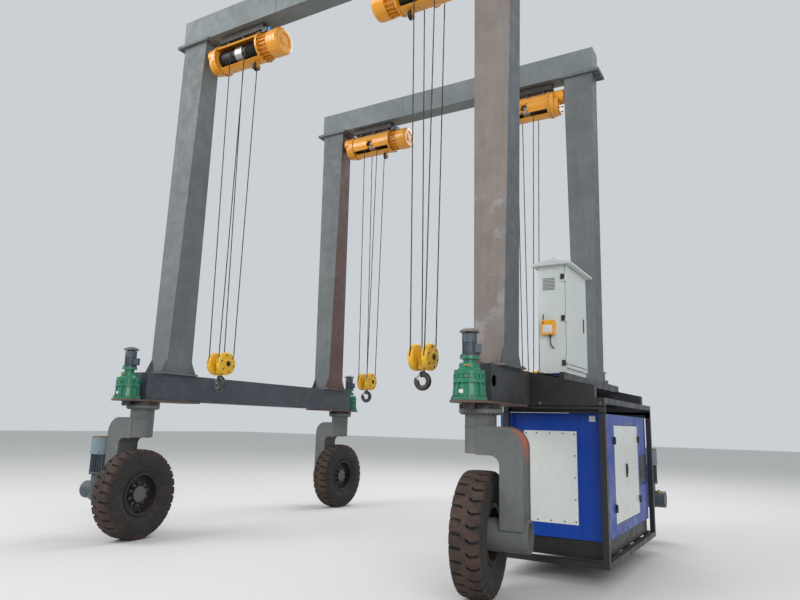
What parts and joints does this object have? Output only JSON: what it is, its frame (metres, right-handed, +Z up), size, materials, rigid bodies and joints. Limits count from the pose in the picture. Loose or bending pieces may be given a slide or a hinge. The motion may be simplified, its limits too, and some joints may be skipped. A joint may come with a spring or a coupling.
{
  "type": "straddle carrier",
  "caption": "Rubber-tyred gantry that straddles its load: tapered legs on box beams, steered wheels on gooseneck knuckles, rope hoists under the top beams, generator and control cabinet.",
  "frame": {"origin": "on the floor, midway between the four steering axes", "axes": "+Z up, Y lengthwise with the front end at -Y, X across with the generator at +X"},
  "size_m": [6.7947, 5.6938, 7.65],
  "materials": {
    "beam_dark": "satin",
    "frame_grey": "satin, dusty",
    "knuckle_grey": "satin, dusty",
    "reducer_green": "satin",
    "motor_blue": "satin",
    "hoist_yellow": "gloss",
    "drum_steel": "greased",
    "hanger_black": "satin",
    "block_yellow": "worn gloss",
    "rope_steel": "greased",
    "canopy_blue": "gloss",
    "panel_white": "gloss",
    "frame_black": "satin",
    "engine_iron": "matt",
    "cabinet_grey": "satin",
    "receiver_yellow": "matt",
    "gear_steel": "greased",
    "rim_black": "satin",
    "tyre_rubber": "dusty"
  },
  "bodies": {
    "gantry": {"side_beam_left": "beam_dark", "side_beam_right": "beam_dark", "top_beam_front": "frame_grey", "top_beam_rear": "frame_grey", "steering_reducers": "reducer_green", "steering_motors": "motor_blue", "hoist_drums": "drum_steel", "hoist_hangers": "hanger_black", "generator_canopy": "canopy_blue", "generator_end_panel": "panel_white", "generator_base": "frame_black", "generator_engine": "engine_iron", "generator_frame": "frame_black", "cabinet_body": "cabinet_grey", "cabinet_roof": "cabinet_grey", "radio_receiver": "receiver_yellow", "leg_front_right": "frame_grey", "hoist_front_right": "hoist_yellow", "ropes_front_right": "rope_steel", "leg_front_left": "frame_grey", "hoist_front_left": "hoist_yellow", "ropes_front_left": "rope_steel", "leg_rear_left": "frame_grey", "hoist_rear_left": "hoist_yellow", "ropes_rear_left": "rope_steel", "leg_rear_right": "frame_grey", "hoist_rear_right": "hoist_yellow", "ropes_rear_right": "rope_steel"},
    "generator_door_front": {"generator_door_front": "panel_white"},
    "generator_door_rear": {"generator_door_rear": "panel_white"},
    "cabinet_door": {"cabinet_door": "cabinet_grey"},
    "knuckle_front_right": {"knuckle_front_right": "knuckle_grey", "ring_gear_front_right": "gear_steel"},
    "wheel_front_right": {"rim_front_right": "rim_black", "tyre_front_right": "tyre_rubber"},
    "hook_block_front_right": {"hook_block_front_right": "block_yellow"},
    "knuckle_front_left": {"knuckle_front_left": "knuckle_grey", "ring_gear_front_left": "gear_steel", "travel_drive_front_left": "motor_blue"},
    "wheel_front_left": {"rim_front_left": "rim_black", "tyre_front_left": "tyre_rubber"},
    "hook_block_front_left": {"hook_block_front_left": "block_yellow"},
    "knuckle_rear_left": {"knuckle_rear_left": "knuckle_grey", "ring_gear_rear_left": "gear_steel"},
    "wheel_rear_left": {"rim_rear_left": "rim_black", "tyre_rear_left": "tyre_rubber"},
    "hook_block_rear_left": {"hook_block_rear_left": "block_yellow"},
    "knuckle_rear_right": {"knuckle_rear_right": "knuckle_grey", "ring_gear_rear_right": "gear_steel", "travel_drive_rear_right": "motor_blue"},
    "wheel_rear_right": {"rim_rear_right": "rim_black", "tyre_rear_right": "tyre_rubber"},
    "hook_block_rear_right": {"hook_block_rear_right": "block_yellow"}
  },
  "joints": [
    {"name": "steer_front_right", "type": "hinge", "parent": "gantry", "child": "knuckle_front_right", "pos_m": [2.45, -2.27, 1.7], "axis": [0, 0, 1], "range_deg": [-97.5, 37.5]},
    {"name": "roll_front_right", "type": "hinge", "parent": "knuckle_front_right", "child": "wheel_front_right", "pos_m": [2.45, -2.27, 0.57], "axis": [0.9914, 0.1305, 0], "continuous": true},
    {"name": "lift_front_right", "type": "slide", "parent": "gantry", "child": "hook_block_front_right", "axis": [0, 0, 1], "range_m": [-1.6, 3.8], "deforming": ["ropes_front_right"]},
    {"name": "steer_front_left", "type": "hinge", "parent": "gantry", "child": "knuckle_front_left", "pos_m": [-2.45, -2.27, 1.7], "axis": [0, 0, 1], "range_deg": [-48, 87]},
    {"name": "roll_front_left", "type": "hinge", "parent": "knuckle_front_left", "child": "wheel_front_left", "pos_m": [-2.45, -2.27, 0.57], "axis": [-0.9986, -0.0523, 0], "continuous": true},
    {"name": "lift_front_left", "type": "slide", "parent": "gantry", "child": "hook_block_front_left", "axis": [0, 0, 1], "range_m": [-1.6, 3.8], "deforming": ["ropes_front_left"]},
    {"name": "steer_rear_left", "type": "hinge", "parent": "gantry", "child": "knuckle_rear_left", "pos_m": [-2.45, 2.27, 1.7], "axis": [0, 0, 1], "range_deg": [-88, 47]},
    {"name": "roll_rear_left", "type": "hinge", "parent": "knuckle_rear_left", "child": "wheel_rear_left", "pos_m": [-2.45, 2.27, 0.57], "axis": [-0.9994, 0.0349, 0], "continuous": true},
    {"name": "lift_rear_left", "type": "slide", "parent": "gantry", "child": "hook_block_rear_left", "axis": [0, 0, 1], "range_m": [-1.6, 3.8], "deforming": ["ropes_rear_left"]},
    {"name": "steer_rear_right", "type": "hinge", "parent": "gantry", "child": "knuckle_rear_right", "pos_m": [2.45, 2.27, 1.7], "axis": [0, 0, 1], "range_deg": [-45, 90]},
    {"name": "roll_rear_right", "type": "hinge", "parent": "knuckle_rear_right", "child": "wheel_rear_right", "pos_m": [2.45, 2.27, 0.57], "axis": [1, 0, 0], "continuous": true},
    {"name": "lift_rear_right", "type": "slide", "parent": "gantry", "child": "hook_block_rear_right", "axis": [0, 0, 1], "range_m": [-1.6, 3.8], "deforming": ["ropes_rear_right"]},
    {"name": "generator_door_front_hinge", "type": "hinge", "parent": "gantry", "child": "generator_door_front", "pos_m": [3.362, -0.711, 1.07], "axis": [0, 0, 1], "range_deg": [-110, 0]},
    {"name": "generator_door_rear_hinge", "type": "hinge", "parent": "gantry", "child": "generator_door_rear", "pos_m": [3.362, 0.586, 1.07], "axis": [0, 0, 1], "range_deg": [0, 110]},
    {"name": "cabinet_door_hinge", "type": "hinge", "parent": "gantry", "child": "cabinet_door", "pos_m": [2.992, -1.182, 2.74], "axis": [0, 0, 1], "range_deg": [-115, 0]}
  ]
}
